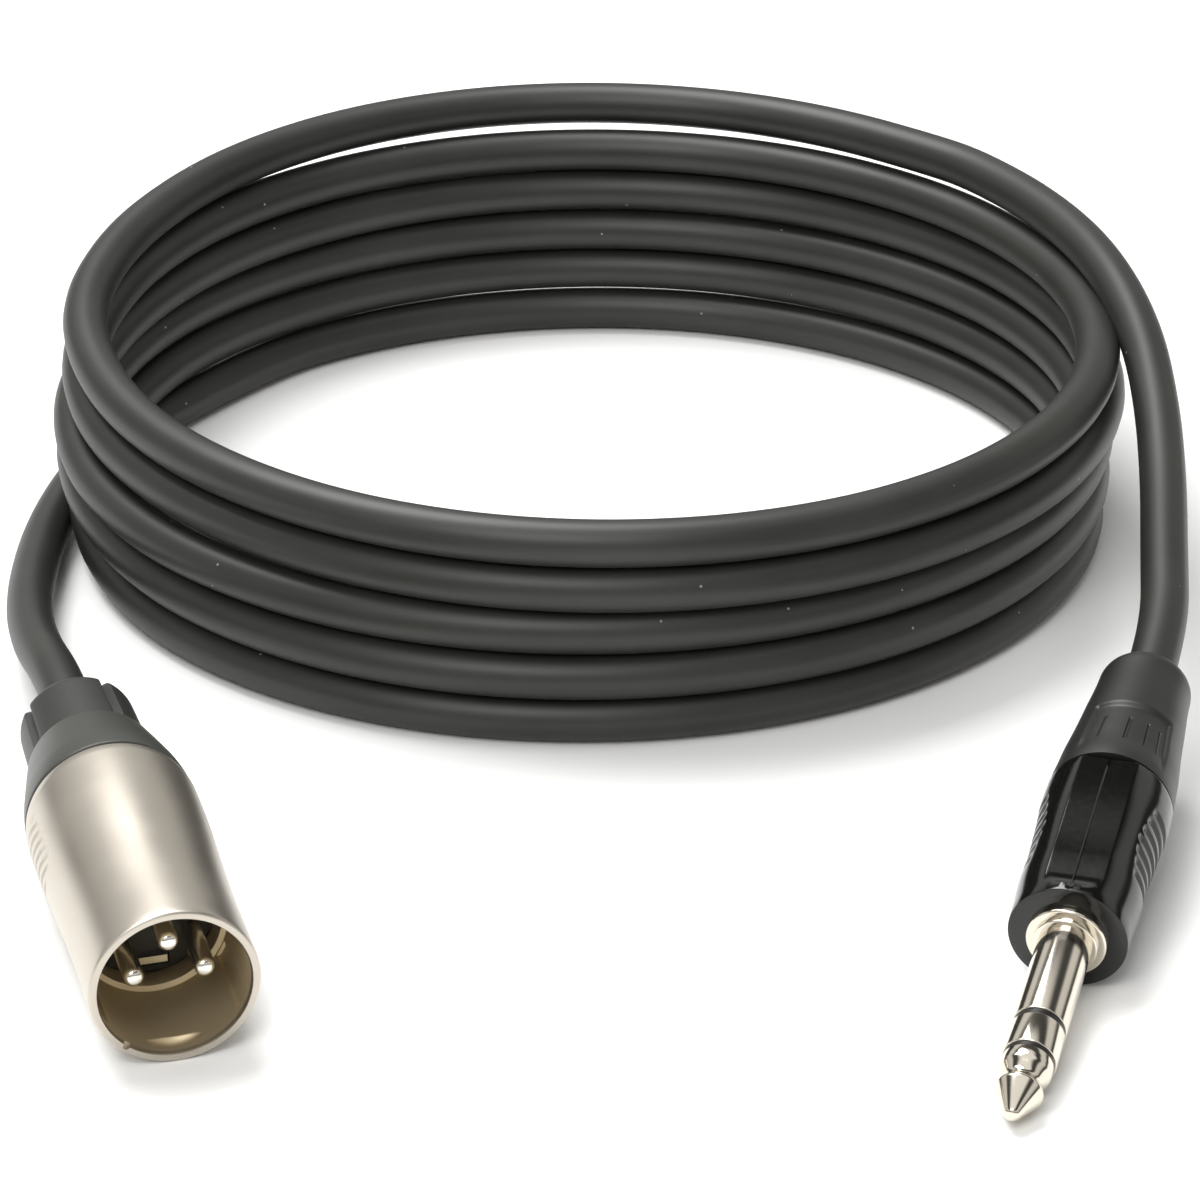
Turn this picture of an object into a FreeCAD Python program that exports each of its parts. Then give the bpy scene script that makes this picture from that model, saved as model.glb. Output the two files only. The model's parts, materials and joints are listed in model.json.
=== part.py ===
import FreeCAD, Part
import math
import os

# Microphone cable with a male three-pin connector on one end and a 6.35 mm stereo jack plug on the
# other, coiled into a short upright stack of turns. Millimetres, +Z up, lying on the plane z = 0.
# Each connector is drawn along its own axis: z = 0 at its front face, +z towards the cable, +y up.

# ---------------------------------------------------------------- cable and coil
CABLE_D = 6.1
CABLE_R = CABLE_D / 2
# One level of the stack per row, from the top: half width and half depth to the middle of the
# cable, centre x, centre y. The turns are a little wider than they are deep.
LEVELS = [
    (70.2, 69.8, 1.1, 42.6),
    (69.0, 67.0, -0.4, 41.9),
    (69.6, 66.8, 0.2, 41.3),
    (68.9, 66.1, -0.4, 41.1),
    (68.7, 66.2, -0.4, 40.6),
    (68.4, 65.6, -0.5, 40.1),
]
TOP_TURN_START = 38.8       # degrees, where the jack tail leaves the top turn
TOP_TURN_END = 170.0        # degrees, where the top turn sinks to the level below

# ---------------------------------------------------------------- three-pin connector
XLR_MOUTH = (-46.1, -100.7)
XLR_YAW = 16.1              # degrees, mouth turned to the right
XLR_MOUTH_R = 9.75
XLR_BULGE_R = 10.4
XLR_BULGE_Z = 34.0
XLR_SHELL_LEN = 38.0
XLR_BORE_R = 8.7
XLR_INSERT_R = 8.1
XLR_INSERT_Z = 16.3         # depth of the contact carrier's face
XLR_REAR_BORE_R = 8.9
XLR_COLLAR_Z = 38.3
XLR_SEAM_Z = 50.6
XLR_LEN = 62.0
PIN_R = 1.2
PIN_STEM_R = 1.0            # the part held in the contact carrier
PIN_CIRCLE_R = 4.05
PIN_TIP_Z = 2.7
PIN_SHOULDER_Z = 16.7       # bottom of the dimple round each pin
PIN_ANGLES = {"xlr_pin_1": 180.0, "xlr_pin_2": 0.0, "xlr_pin_3": 90.0}
XLR_PITCH = 1.5             # thread pitch of the gland

# ---------------------------------------------------------------- jack plug
JACK_FACE = (54.4, -85.3)
JACK_YAW = 16.2             # degrees, tip turned to the left
PLUG_R = 3.175
SLEEVE_STEM_R = 2.95        # the sleeve where the collar is pressed on
COLLAR_Z = -1.6             # front of the collar
RING_GAP_R = 2.97           # the black rings, a little below the metal
HOUSING_EDGE_R = 7.05
HOUSING_EDGE_Z = 1.0
CONE_R = 2.85
CONE_Z = -27.3
TIP_Z = -31.4
HOUSING_LEN = 25.4
CROWN_FLAT = 6.17           # height of the flat along the crown above the axis, at the face
CROWN_RISE = 2.24           # degrees it rises towards the boot, so that its width stays even
JACK_LEN = 50.0
JACK_PITCH = 1.0            # thread pitch of the boot

RUNNING_GAP = 0.3           # between pieces that move past each other
SLIP = 0.02                 # between pieces that sit in one another for good
FLOOR_GAP = 0.01


# ---------------------------------------------------------------- drawing helpers
def vector(x, y, z=0.0):
    return FreeCAD.Vector(x, y, z)


def rounded_wire(points):
    """Closed wire through (r, z) or (r, z, rounding) points in the XZ plane."""
    corners = [vector(p[0], 0, p[1]) for p in points]
    rounds = [p[2] if len(p) > 2 else 0.0 for p in points]
    count = len(corners)
    ends = []
    for i in range(count):
        here = corners[i]
        back = (corners[i - 1] - here)
        ahead = (corners[(i + 1) % count] - here)
        if rounds[i] == 0:
            ends.append((here, None, here))
            continue
        opening = back.getAngle(ahead)
        setback = rounds[i] / math.tan(opening / 2)
        back.normalize()
        ahead.normalize()
        middle_line = (back + ahead).normalize()
        centre = here + middle_line * (rounds[i] / math.sin(opening / 2))
        ends.append((here + back * setback, centre - middle_line * rounds[i], here + ahead * setback))
    edges = []
    for i in range(count):
        start, middle, finish = ends[i]
        if middle is not None:
            edges.append(Part.Arc(start, middle, finish).toShape())
        following = ends[(i + 1) % count][0]
        if finish.distanceToPoint(following) > 1e-6:
            edges.append(Part.LineSegment(finish, following).toShape())
    return Part.Wire(edges)


def turned(points):
    """Solid turned about the Z axis from a closed (r, z) outline."""
    return Part.Face(rounded_wire(points)).revolve(vector(0, 0, 0), vector(0, 0, 1), 360)


def ring(outer, inner, low, high):
    return turned([(inner, low), (outer, low), (outer, high), (inner, high)])


def rod(radius, low, high):
    return Part.makeCylinder(radius, high - low, vector(0, 0, low))


def block(size, low_corner):
    return Part.makeBox(*size, vector(*low_corner))


def thread(crest, root, low, pitch, turns):
    """Outline points of ring-shaped thread ridges, going up in z."""
    points = []
    for i in range(turns):
        z = low + i * pitch
        points += [(root, z), (crest, z + 0.3 * pitch), (crest, z + 0.55 * pitch), (root, z + 0.85 * pitch)]
    return points


def spun(shape, degrees):
    copy = shape.copy()
    copy.rotate(vector(0, 0, 0), vector(0, 0, 1), degrees)
    return copy


def slanted_rod(radius, start, finish):
    direction = vector(*finish) - vector(*start)
    return Part.makeCylinder(radius, direction.Length, vector(*start), direction)


def frame(front, yaw, dip, side):
    """Placement of a connector: its +z runs back along the floor, its +y up."""
    turn, drop = math.radians(yaw) * side, math.radians(dip)
    back = vector(math.sin(turn) * math.cos(drop), math.cos(turn) * math.cos(drop), math.sin(drop))
    up = vector(-math.sin(turn) * math.sin(drop), -math.cos(turn) * math.sin(drop), math.cos(drop))
    across = up.cross(back)
    return FreeCAD.Placement(vector(*front), FreeCAD.Rotation(across, up, back, "ZXY"))


def save(name, shape, place=None):
    if place is not None:
        shape = shape.copy()
        shape.Placement = place.multiply(shape.Placement)
    solids = shape.Solids
    whole = solids[0] if len(solids) == 1 else Part.makeCompound(solids)
    whole.exportStep("parts/" + name + ".step")
    box = whole.optimalBoundingBox(True, False)
    print("%-20s solids %d  volume %9.1f  z %.2f to %.2f  valid %s"
          % (name, len(solids), whole.Volume, box.ZMin, box.ZMax, whole.isValid()))


# ---------------------------------------------------------------- cord
def cord_tube(points, radius):
    """Round tube along straight runs joined by tangent arcs."""
    stations = [vector(*p) for p in points]
    edges, radii = [], []
    start = stations[0]
    for i in range(1, len(stations) - 1):
        here = stations[i]
        back = stations[i - 1] - here
        ahead = stations[i + 1] - here
        shorter = min(back.Length, ahead.Length)
        turn = math.pi - back.getAngle(ahead)
        setback = 0.45 * shorter
        arc_radius = setback / math.tan(turn / 2)
        radii.append(arc_radius)
        back.normalize()
        ahead.normalize()
        middle_line = (back + ahead).normalize()
        centre = here + middle_line * (arc_radius / math.cos(turn / 2))
        first, last = here + back * setback, here + ahead * setback
        edges.append(Part.LineSegment(start, first).toShape())
        edges.append(Part.Arc(first, centre - middle_line * arc_radius, last).toShape())
        start = last
    edges.append(Part.LineSegment(start, stations[-1]).toShape())
    path = Part.Wire(edges)
    heading = stations[1] - stations[0]
    section = Part.Wire(Part.makeCircle(radius, stations[0], heading))
    sweep = Part.BRepOffsetAPI.MakePipeShell(path)
    sweep.add(section)
    sweep.build()
    sweep.makeSolid()
    tube = sweep.shape()
    expected = math.pi * radius ** 2 * path.Length
    print("  tube length %.1f  radii %s  volume ratio %.4f"
          % (path.Length, [round(v) for v in radii], tube.Volume / expected))
    return tube


def coil_body():
    """Outer shape of the stacked turns: one flat ring per level, and the top turn's part ring."""
    body = None
    for level, (wide, deep, x, y) in enumerate(LEVELS):
        low = (10 - 2 * level) * CABLE_R
        layer = None
        for reach in (CABLE_R, -CABLE_R):
            middle = vector(x, y, low)
            outline = Part.Ellipse(middle + vector(wide + reach, 0), middle + vector(0, deep + reach), middle)
            slab = Part.Face(Part.Wire(outline.toShape())).extrude(vector(0, 0, CABLE_D))
            layer = slab if layer is None else layer.cut(slab)
        if level == 0:
            sector = Part.makeCylinder(wide + CABLE_D, CABLE_D, vector(0, 0, low), vector(0, 0, 1),
                                       TOP_TURN_END - TOP_TURN_START)
            sector.rotate(vector(0, 0, 0), vector(0, 0, 1), TOP_TURN_START)
            sector.translate(vector(x, y, 0))
            layer = layer.common(sector)
        body = layer if body is None else body.fuse(layer)
    return body.removeSplitter()


# ---------------------------------------------------------------- three-pin connector pieces
def xlr_shell():
    outside = [(XLR_MOUTH_R, 0, 0.45), (XLR_MOUTH_R + 0.05, 20, 12), (XLR_BULGE_R, XLR_BULGE_Z, 14),
               (XLR_BULGE_R, 36.5, 4), (10.25, XLR_SHELL_LEN, 0.3)]
    inside = [(XLR_REAR_BORE_R, XLR_SHELL_LEN), (XLR_REAR_BORE_R, 30.2), (7.4, 30.2), (7.4, 28.6),
              (XLR_INSERT_R + SLIP, 28.6), (XLR_INSERT_R + SLIP, 13.6), (XLR_BORE_R, 13.3),
              (XLR_BORE_R, 0.3), (XLR_BORE_R + 0.15, 0)]
    shell = turned(outside + inside)
    # Lens-shaped recess that the socket's latch drops into, in the floor of the mouth.
    lens = Part.Wire([
        Part.LineSegment(vector(0, 0, -1.35), vector(4.1, 0, -1.35)).toShape(),
        Part.Arc(vector(4.1, 0, -1.35), vector(5.0, 0, 0), vector(4.1, 0, 1.35)).toShape(),
        Part.LineSegment(vector(4.1, 0, 1.35), vector(0, 0, 1.35)).toShape(),
        Part.LineSegment(vector(0, 0, 1.35), vector(0, 0, -1.35)).toShape()])
    cutter = Part.Face(lens).revolve(vector(0, 0, 0), vector(0, 0, 1), 360)
    cutter.translate(vector(0, -4.25, 2.4))
    shell = shell.cut(cutter)
    # Keyways for the socket's guide ribs: a deep one low on one side, a shallow one opposite.
    for angle, width, depth in ((-22.0, 2.4, 0.55), (-152.0, 1.6, 0.35)):
        slot = block((depth + 1.0, width, 11.6), (XLR_BORE_R - 1.0, -width / 2, 1.4))
        shell = shell.cut(spun(slot, angle))
    # Slanted grip cuts on both flanks.
    for side in (0, 180):
        for i in range(6):
            knife = block((1.5, 9.0, 0.32), (9.97, -4.5, -0.16))
            knife.rotate(vector(0, 0, 0), vector(1, 0, 0), 32 if side == 0 else -32)
            knife.translate(vector(0, 0, 25.0 + 1.7 * i))
            shell = shell.cut(spun(knife, side))
    return shell


def xlr_insert():
    body = turned([(0, XLR_INSERT_Z), (XLR_INSERT_R, XLR_INSERT_Z, 0.3), (XLR_INSERT_R, 28.4, 0.3),
                   (0, 28.4)])
    collar = ring(7.2, 6.4, 28.4, 32.5)
    body = body.fuse(collar)
    for angle in PIN_ANGLES.values():
        x, y = pin_place(angle)
        bore = rod(PIN_STEM_R + SLIP, XLR_INSERT_Z - 1, 36)
        bore.translate(vector(x, y, 0))
        dimple = rod(1.9, XLR_INSERT_Z - 1, PIN_SHOULDER_Z)
        dimple.translate(vector(x, y, 0))
        body = body.cut(bore).cut(dimple)
    slot = block((4.0 + 2 * SLIP, 0.9 + 2 * SLIP, 20), (-2.0 - SLIP, -6.55 - SLIP, XLR_INSERT_Z - 1))
    pocket = block((4.6, 2.2, 1.2), (-2.3, -7.1, XLR_INSERT_Z - 0.6))
    return body.cut(slot).cut(pocket)


def pin_place(angle):
    turn = math.radians(angle)
    return PIN_CIRCLE_R * math.cos(turn), PIN_CIRCLE_R * math.sin(turn)


def xlr_pin(angle):
    contact = turned([(0, PIN_TIP_Z), (PIN_R, PIN_TIP_Z, 0.95), (PIN_R, PIN_SHOULDER_Z),
                      (PIN_STEM_R, PIN_SHOULDER_Z), (PIN_STEM_R, 28.6), (1.45, 28.9), (1.45, 34.6), (0, 34.6)])
    cup = rod(1.0, 30.2, 35)
    mouth = block((3, 3, 3), (-1.5, 0.2, 31.8))
    contact = contact.cut(cup).cut(mouth)
    x, y = pin_place(angle)
    contact.translate(vector(x, y, 0))
    return contact


def xlr_ground_tab():
    blade = block((4.0, 0.9, 15.6), (-2.0, -6.55, XLR_INSERT_Z - 0.5))
    tail = block((4.0, 0.45, 2.6), (-2.0, -6.1, 31.2))
    return blade.fuse(tail).removeSplitter()


def xlr_chuck():
    body = turned([(4.9, 40.2), (7.2, 40.2, 0.3), (7.2, 43.6, 1.5), (5.2, 52.2, 0.4),
                   (CABLE_R + RUNNING_GAP, 52.2, 0.3), (CABLE_R + RUNNING_GAP, 43.6, 1.0)])
    for angle in (0, 90):
        slit = block((16, 0.9, 9.5), (-8, -0.45, 43.8))
        body = body.cut(spun(slit, angle + 45))
    return body


def xlr_gland_collar():
    skirt = thread(8.6, 8.1, 31.6, XLR_PITCH, 4)
    outside = skirt + [(8.6, 37.6), (8.6, XLR_COLLAR_Z), (10.25, XLR_COLLAR_Z, 0.35), (10.0, 41.0, 5),
                       (7.75, XLR_SEAM_Z, 0.2)]
    inside = [(6.3, XLR_SEAM_Z), (7.6, 43.6, 1), (7.6, 31.2), (8.1, 31.2)]
    return turned(outside + inside)


def xlr_boot():
    body = turned([(5.9, XLR_SEAM_Z), (6.8, XLR_SEAM_Z), (6.3, 58.5, 8), (5.4, XLR_LEN, 1.2),
                   (CABLE_R + RUNNING_GAP, XLR_LEN, 0.3), (CABLE_R + RUNNING_GAP, 54.2), (5.9, 54.2)])
    lug = turned([(5.2, XLR_SEAM_Z), (7.45, XLR_SEAM_Z, 0.2), (7.15, 58.5, 6), (6.6, 61.6, 1.1),
                  (5.2, 61.6)])
    inner = rod(5.9, XLR_SEAM_Z - 1, 54.2)
    wedge = block((6, 9.7, 14), (4.5, -4.85, 49.5))
    for i in range(4):
        rib = lug.common(wedge).cut(inner)
        body = body.fuse(spun(rib, 75 + 90 * i))
    return body.removeSplitter()


def xlr_wire(angle, radius, offset):
    x, y = pin_place(angle)
    start = (offset[0], offset[1], 45.7)
    return slanted_rod(radius, start, (x, y, 34.9))


# ---------------------------------------------------------------- jack pieces
def jack_housing():
    outside = [(5.9, 0, 0.6), (HOUSING_EDGE_R, HOUSING_EDGE_Z, 1.0), (7.3, 8, 20), (7.75, 21, 12),
               (7.7, HOUSING_LEN, 0.3)]
    inside = [(5.9, HOUSING_LEN), (5.9, 4.0), (3.6, 4.0), (3.6, 0)]
    body = turned([(3.6, 0)] + outside + inside[:-1])
    # Curved grip cuts on both flanks, deeper towards the middle of the grip.
    for i, depth in enumerate((0.26, 0.34, 0.40, 0.42, 0.40, 0.34, 0.26)):
        z = 8.6 + 1.9 * i
        groove = Part.makeTorus(8.15, 0.55 + depth, vector(0, 0, z))
        reach = 8.4 - 0.5 * abs(i - 3)
        for side in (-1, 1):
            flank = block((6, reach, 2.4), (3.6 if side > 0 else -9.6, -reach / 2, z - 1.2))
            body = body.cut(groove.common(flank))
    # Flat along the crown, with the mould's parting line down its middle.
    front = rod(9, 0, 1.5)
    for width, depth in ((8.0, 0.0), (0.16, 0.12)):
        mill = block((width, 2, 30), (-width / 2, 0, 0))
        mill.rotate(vector(0, 0, 0), vector(1, 0, 0), -CROWN_RISE)
        mill.translate(vector(0, CROWN_FLAT - depth, 0))
        body = body.cut(mill.cut(front))
    return body


def jack_boot():
    skirt = thread(5.6, 5.2, 18.2, JACK_PITCH, 5)
    outside = skirt + [(5.6, 23.6), (5.6, HOUSING_LEN + 0.3), (7.6, HOUSING_LEN + 0.3, 0.3),
                       (7.3, 30, 15), (6.5, 38, 20), (5.75, 48, 4), (5.1, JACK_LEN, 1.2)]
    inside = [(CABLE_R + RUNNING_GAP, JACK_LEN, 0.3), (CABLE_R + RUNNING_GAP, 37.5), (4.9, 34.5),
              (4.9, 17.8), (5.2, 17.8)]
    body = turned(outside + inside)
    # Shallow windows round the waist, which run out at the front.
    hollow = turned([(7.35, 27.5), (9, 27.5), (9, 37.4), (6.3, 37.4)])
    for angle in (98, 278):
        window = hollow.common(block((6, 9.8, 12), (4.0, -4.9, 26.5)))
        body = body.cut(spun(window, angle))
    return body


def jack_chuck():
    body = turned([(CABLE_R + RUNNING_GAP, 22.6), (4.5, 22.6, 0.3), (4.5, 33.6, 0.6), (3.9, 36.2, 0.2),
                   (CABLE_R + RUNNING_GAP, 36.2)])
    for angle in (0, 90):
        slit = block((12, 0.8, 10.4), (-6, -0.4, 26.4))
        body = body.cut(spun(slit, angle + 45))
    return body


def jack_collar():
    return turned([(SLEEVE_STEM_R + SLIP, COLLAR_Z), (3.75, COLLAR_Z, 0.25), (3.75, -0.95), (4.7, -0.95, 0.3),
                   (4.7, -0.02), (3.55, -0.02), (3.55, 4.6), (4.6, 4.6), (4.6, 5.6),
                   (SLEEVE_STEM_R + SLIP, 5.6)])


def jack_sleeve():
    return turned([(2.42, -16.3), (PLUG_R, -16.3, 0.1), (PLUG_R, COLLAR_Z), (SLEEVE_STEM_R, COLLAR_Z),
                   (SLEEVE_STEM_R, 6.4), (2.42, 6.4)])


def jack_rear_insulator():
    return turned([(1.97, -17.2), (RING_GAP_R, -17.2), (RING_GAP_R, -16.32), (2.4, -16.32), (2.4, 7.2),
                   (1.97, 7.2)])


def jack_ring():
    body = turned([(1.52, -22.0), (PLUG_R, -22.0, 0.1), (PLUG_R, -17.22, 0.1), (1.95, -17.22), (1.95, 9.2),
                   (1.52, 9.2)])
    lug = block((2.6, 0.5, 3.6), (-1.3, 1.6, 8.0))
    return body.fuse(lug).removeSplitter()


def jack_front_insulator():
    return turned([(1.02, -23.2), (RING_GAP_R, -23.2, 0.15), (RING_GAP_R, -22.02), (1.5, -22.02),
                   (1.5, 10.2), (1.02, 10.2)])


def jack_tip():
    body = turned([(0, TIP_Z), (0.75, TIP_Z, 0.5), (CONE_R, CONE_Z, 0.35), (2.35, -26.5, 0.3),
                   (2.0, -25.7, 0.6), (2.45, -24.9, 0.3), (2.9, -24.2, 0.3), (2.75, -23.22, 0.2),
                   (1.0, -23.22), (1.0, 11.0), (0, 11.0)])
    lug = block((2.2, 0.5, 3.4), (-1.1, -0.25, 10.6))
    return body.fuse(lug).removeSplitter()


def jack_ground_lug():
    washer = ring(5.4, 3.3, 5.62, 6.2)
    strap = block((2.4, 0.5, 13.0), (-1.2, -4.1, 6.2))
    cradle = ring(3.95, 3.45, 19.4, 21.2).cut(block((9, 9, 3), (-4.5, -1.0, 19)))
    foot = block((2.4, 0.75, 0.8), (-1.2, -4.1, 19.2))
    return washer.fuse(strap).fuse(foot).fuse(cradle).removeSplitter()


# ---------------------------------------------------------------- build
os.makedirs("parts", exist_ok=True)

xlr_dip = math.degrees(math.atan((XLR_BULGE_R - XLR_MOUTH_R) / XLR_BULGE_Z))
xlr_height = XLR_MOUTH_R * math.cos(math.radians(xlr_dip)) + FLOOR_GAP
xlr_frame = frame((*XLR_MOUTH, xlr_height), XLR_YAW, xlr_dip, -1)

jack_dip = math.degrees(math.atan((HOUSING_EDGE_R - CONE_R) / (HOUSING_EDGE_Z - CONE_Z)))
jack_height = (HOUSING_EDGE_R * math.cos(math.radians(jack_dip))
               - HOUSING_EDGE_Z * math.sin(math.radians(jack_dip)) + FLOOR_GAP)
jack_frame = frame((*JACK_FACE, jack_height), JACK_YAW, jack_dip, 1)

xlr_exit = xlr_frame.multVec(vector(0, 0, XLR_LEN))
jack_exit = jack_frame.multVec(vector(0, 0, JACK_LEN))

# Cord routes, in order from the connector to the coil; the first point is the boot's end.
XLR_TAIL = [
    tuple(xlr_exit),
    tuple(xlr_frame.multVec(vector(0, 0, XLR_LEN + 12))),
    (-71.3, -15.5, 8.6),
    (-73.9, -1.0, 6.4),
    (-75.2, 14.0, 4.4),
    (-75.5, 29.0, CABLE_R),
    (-73.6, 43.5, CABLE_R),
    (-69.6, 57.0, CABLE_R),
    (-63.2, 69.0, CABLE_R),
]
JACK_TAIL = [
    tuple(jack_exit),
    tuple(jack_frame.multVec(vector(0, 0, JACK_LEN + 13))),
    (73.8, -11.0, 18.7),
    (75.0, 4.5, 21.7),
    (75.3, 20.0, 25.6),
    (74.6, 36.0, 29.6),
    (71.2, 52.5, 32.7),
    (65.0, 69.8, 11 * CABLE_R),
    (56.0, 85.2, 11 * CABLE_R),
]

print("xlr dip %.3f height %.3f exit %s" % (xlr_dip, xlr_height, [round(v, 3) for v in xlr_exit]))
print("jack dip %.3f height %.3f exit %s" % (jack_dip, jack_height, [round(v, 3) for v in jack_exit]))

save("cable_coil", coil_body())
save("cable_tail_xlr", cord_tube(XLR_TAIL, CABLE_R))
save("cable_tail_jack", cord_tube(JACK_TAIL, CABLE_R))

save("xlr_shell", xlr_shell(), xlr_frame)
save("xlr_insert", xlr_insert(), xlr_frame)
for name, angle in PIN_ANGLES.items():
    save(name, xlr_pin(angle), xlr_frame)
save("xlr_ground_tab", xlr_ground_tab(), xlr_frame)
save("xlr_chuck", xlr_chuck(), xlr_frame)
save("xlr_gland_collar", xlr_gland_collar(), xlr_frame)
save("xlr_boot", xlr_boot(), xlr_frame)
save("xlr_cable_end", rod(CABLE_R, 46.0, XLR_LEN), xlr_frame)
save("xlr_core_hot", xlr_wire(0.0, 0.6, (1.1, 0.3)), xlr_frame)
save("xlr_core_cold", xlr_wire(90.0, 0.6, (0.0, 1.7)), xlr_frame)
save("xlr_shield_wire", xlr_wire(180.0, 0.7, (-1.2, 0.0)), xlr_frame)

save("jack_housing", jack_housing(), jack_frame)
save("jack_boot", jack_boot(), jack_frame)
save("jack_chuck", jack_chuck(), jack_frame)
save("jack_collar", jack_collar(), jack_frame)
save("jack_sleeve", jack_sleeve(), jack_frame)
save("jack_rear_insulator", jack_rear_insulator(), jack_frame)
save("jack_ring", jack_ring(), jack_frame)
save("jack_front_insulator", jack_front_insulator(), jack_frame)
save("jack_tip", jack_tip(), jack_frame)
save("jack_ground_lug", jack_ground_lug(), jack_frame)
save("jack_cable_end", rod(CABLE_R, 19.4, JACK_LEN), jack_frame)
save("jack_core_tip", slanted_rod(0.6, (0, -0.9, 19.2), (0, -0.9, 13.2)), jack_frame)
save("jack_core_ring", slanted_rod(0.6, (0, 1.4, 19.1), (0, 2.9, 10.8)), jack_frame)
save("jack_shield_wire", slanted_rod(0.5, (0, -2.3, 19.3), (0, -3.0, 13.0)), jack_frame)
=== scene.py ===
# %% [markdown]
# # A coiled microphone cable
# The object is about two and a half metres of black microphone cable, wound into a short stack of
# turns. One end carries a male three-pin connector in a nickel shell, the other a quarter-inch
# stereo jack plug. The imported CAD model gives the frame: where each piece is, and which body it
# rides on. Everything visible is then made again, or given a finish, in the same metres.

# %% Load the frame
import json
import math

import bmesh
import bpy
from mathutils import Matrix, Vector


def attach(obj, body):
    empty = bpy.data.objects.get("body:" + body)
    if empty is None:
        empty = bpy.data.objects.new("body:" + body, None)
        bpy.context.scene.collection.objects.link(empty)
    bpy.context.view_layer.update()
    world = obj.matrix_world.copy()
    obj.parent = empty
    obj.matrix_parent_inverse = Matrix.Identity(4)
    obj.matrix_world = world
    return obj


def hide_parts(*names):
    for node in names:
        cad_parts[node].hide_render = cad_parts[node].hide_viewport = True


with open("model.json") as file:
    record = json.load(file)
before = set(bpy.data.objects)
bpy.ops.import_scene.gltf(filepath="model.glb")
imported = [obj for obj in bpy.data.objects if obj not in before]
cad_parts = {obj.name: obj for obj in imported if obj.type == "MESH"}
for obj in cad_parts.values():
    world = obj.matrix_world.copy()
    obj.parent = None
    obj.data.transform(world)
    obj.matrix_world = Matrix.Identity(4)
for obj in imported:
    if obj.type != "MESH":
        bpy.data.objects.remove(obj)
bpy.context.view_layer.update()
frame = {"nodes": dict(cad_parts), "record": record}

MM = 0.001
nodes = frame["nodes"]

# %% [markdown]
# ## Camera
# The cable is seen from a little above and well back, through a long lens, so the turns look almost
# parallel. A 135 mm lens on a 36 mm sensor, 605 mm from the point it looks at, 27 degrees above the
# table, takes in the whole coil with a narrow margin.

# %% Place the camera
CAMERA_AT = Vector((1.0, -526.3, 274.09)) * MM
CAMERA_TARGET = Vector((1.0, 13.5, 0.0)) * MM

camera_data = bpy.data.cameras.new("camera")
camera_data.lens = 135.0
camera_data.sensor_width = 36.0
camera_data.clip_start = 0.02
camera_data.clip_end = 20.0
camera = bpy.data.objects.new("camera", camera_data)
camera.location = CAMERA_AT
camera.rotation_euler = (CAMERA_TARGET - CAMERA_AT).to_track_quat("-Z", "Y").to_euler()
bpy.context.scene.collection.objects.link(camera)
bpy.context.scene.camera = camera
print("camera is", round((CAMERA_TARGET - CAMERA_AT).length / MM), "mm from its target")

# %% [markdown]
# ## Colour and shader helpers
# Colours are written as the hex values a paint chart would use, which are sRGB, and Blender mixes
# light in linear values. One function turns the first into the second. One more adds a shader node,
# sets its properties or sockets, and links other nodes into it.

# %% Turn a hex colour to linear
def linear(hex_colour):
    """A colour such as "#3a3a36" as linear red, green, blue and an alpha of 1."""
    channels = [int(hex_colour[i:i + 2], 16) / 255 for i in (1, 3, 5)]
    curve = [c / 12.92 if c <= 0.04045 else ((c + 0.055) / 1.055) ** 2.4 for c in channels]
    return (*curve, 1.0)


# %% Add one shader node
def add_node(tree, kind, settings=None, links=None):
    """A new node in the tree. Settings are sockets by name or number, or else properties."""
    node = tree.nodes.new(kind)
    for name, value in (settings or {}).items():
        if isinstance(name, int) or name in node.inputs.keys():
            node.inputs[name].default_value = value
        else:
            setattr(node, name, value)
    for name, source in (links or {}).items():
        tree.links.new(source, node.inputs[name])
    return node


# %% Start a material
def start_material(name, settings):
    """A material with one Principled shader, and that shader's node."""
    material = bpy.data.materials.new(name)
    material.use_nodes = True
    tree = material.node_tree
    tree.nodes.clear()
    shader = add_node(tree, "ShaderNodeBsdfPrincipled", settings)
    add_node(tree, "ShaderNodeOutputMaterial", links={"Surface": shader.outputs["BSDF"]})
    return material, tree, shader


# %% [markdown]
# ## The cable's jacket
# Microphone cable is sheathed in soft PVC, extruded black with a dull, slightly waxy skin. It is made
# here from a dark base, a fairly rough reflection and two patterns. The first is the faint mottling
# of the skin, a few tenths of a millimetre across, which gives the highlights a fine grain. The second
# is handling dust: sparse pale specks that a black cable always picks up.

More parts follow.
